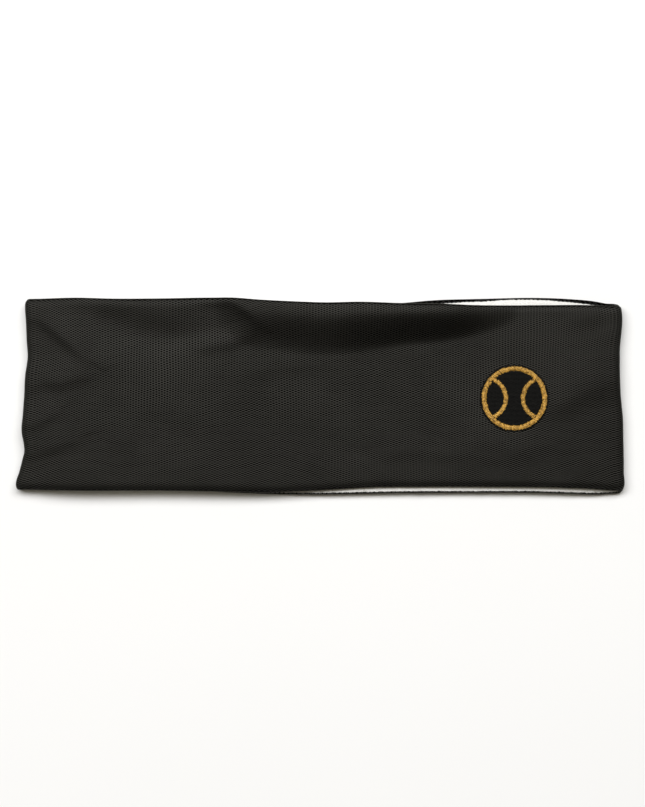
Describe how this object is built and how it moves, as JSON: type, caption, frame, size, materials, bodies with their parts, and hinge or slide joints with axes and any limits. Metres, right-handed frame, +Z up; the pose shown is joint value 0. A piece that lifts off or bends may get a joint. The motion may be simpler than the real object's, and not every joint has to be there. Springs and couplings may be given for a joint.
{
  "type": "sports headband",
  "caption": "Wide lined sports headband lying flat: a black knitted loop with a white brushed lining, turned edges and a round stitched emblem.",
  "frame": {"origin": "middle of the face that it rests on, under the centre of the flattened loop", "axes": "+X along the flattened loop, towards the emblem; +Y across the band; +Z up, from the back layer to the front layer"},
  "size_m": [0.24, 0.077, 0.0095],
  "materials": {
    "outer_knit": "matt black pinhole knit",
    "brushed_lining": "white brushed knit with short pile",
    "edge_thread": "black textured polyester thread",
    "white_thread": "white spun polyester thread",
    "black_embroidery": "black embroidery thread, low sheen",
    "gold_embroidery": "gold rayon embroidery thread, satin sheen",
    "nonwoven_backing": "white tear-away stabiliser"
  },
  "bodies": {
    "back_half": {"shell_left_fold": "outer_knit", "shell_right_fold": "outer_knit", "shell_back_short_panel": "outer_knit", "shell_back_long_panel": "outer_knit", "lining_left_fold": "brushed_lining", "lining_right_fold": "brushed_lining", "lining_back_short_panel": "brushed_lining", "lining_back_long_panel": "brushed_lining", "edge_seam_top_back": "edge_thread", "edge_seam_top_left_fold": "edge_thread", "edge_seam_top_right_fold": "edge_thread", "edge_seam_bottom_back": "edge_thread", "edge_seam_bottom_left_fold": "edge_thread", "edge_seam_bottom_right_fold": "edge_thread", "shell_join_seam": "edge_thread", "lining_join_seam": "white_thread"},
    "front_half": {"shell_front_panel": "outer_knit", "lining_front_panel": "brushed_lining", "edge_seam_top_front": "edge_thread", "edge_seam_bottom_front": "edge_thread", "emblem_ground": "black_embroidery", "emblem_ring": "gold_embroidery", "emblem_ball_seam_left": "gold_embroidery", "emblem_ball_seam_right": "gold_embroidery", "emblem_backing": "nonwoven_backing", "emblem_bobbin_thread": "white_thread"}
  },
  "joints": [
    {"name": "loop_open", "type": "slide", "parent": "back_half", "child": "front_half", "axis": [0, 0, 1], "range_m": [0, 0.05], "deforming": ["shell_left_fold", "shell_right_fold", "lining_left_fold", "lining_right_fold", "edge_seam_top_left_fold", "edge_seam_top_right_fold", "edge_seam_bottom_left_fold", "edge_seam_bottom_right_fold"]}
  ]
}
